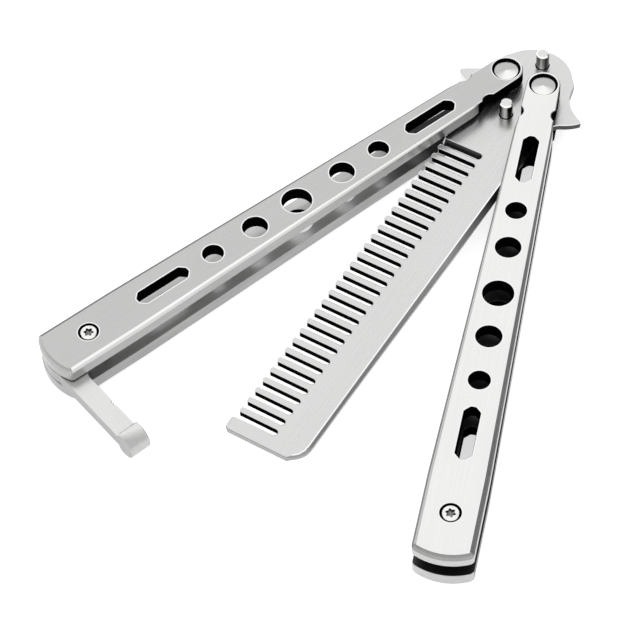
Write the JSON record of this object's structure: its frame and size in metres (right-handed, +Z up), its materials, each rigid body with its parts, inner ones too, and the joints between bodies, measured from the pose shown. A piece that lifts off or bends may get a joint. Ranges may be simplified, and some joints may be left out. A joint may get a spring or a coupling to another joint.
{
  "type": "folding comb",
  "caption": "Folding hair comb of stainless steel: a toothed plate between two slotted swinging handles, with a hook latch that holds them together.",
  "frame": {"origin": "centre of the bounding box on the surface the comb lies on, in the half open pose shown", "axes": "+Y from the comb's tip to its pivots, +X across it towards the right handle and the comb's spine, +Z up through the thickness of the handles"},
  "size_m": [0.1054, 0.1392, 0.0103],
  "materials": {
    "comb_satin": "fine satin, polished along the spine",
    "plate_satin": "fine satin, bright bevelled edges",
    "pin_polished": "turned and polished",
    "screw_bright": "bright, lightly turned",
    "spacer_steel": "turned",
    "latch_satin": "satin with filed edges"
  },
  "bodies": {
    "comb": {"comb_plate": "comb_satin", "tang_pin_closed": "pin_polished", "tang_pin_open": "pin_polished"},
    "left_handle": {"left_plate_top": "plate_satin", "left_plate_bottom": "plate_satin", "left_pivot_pin": "pin_polished", "left_end_screw": "screw_bright"},
    "right_handle": {"right_plate_top": "plate_satin", "right_plate_bottom": "plate_satin", "right_pivot_pin": "pin_polished", "right_end_screw": "screw_bright", "right_end_spacer": "spacer_steel"},
    "latch": {"latch": "latch_satin"}
  },
  "joints": [
    {"name": "left_pivot", "type": "hinge", "parent": "comb", "child": "left_handle", "pos_m": [-0.00375, 0.05675, 0.00515], "axis": [0, 0, 1], "range_deg": [-158.7, 19.5]},
    {"name": "right_pivot", "type": "hinge", "parent": "comb", "child": "right_handle", "pos_m": [0.00577, 0.05675, 0.00515], "axis": [0, 0, 1], "range_deg": [-18.5, 159.7]},
    {"name": "latch_pivot", "type": "hinge", "parent": "left_handle", "child": "latch", "pos_m": [-0.04387, -0.05102, 0.00515], "axis": [0, 0, -1], "range_deg": [-11.5, 105]}
  ]
}
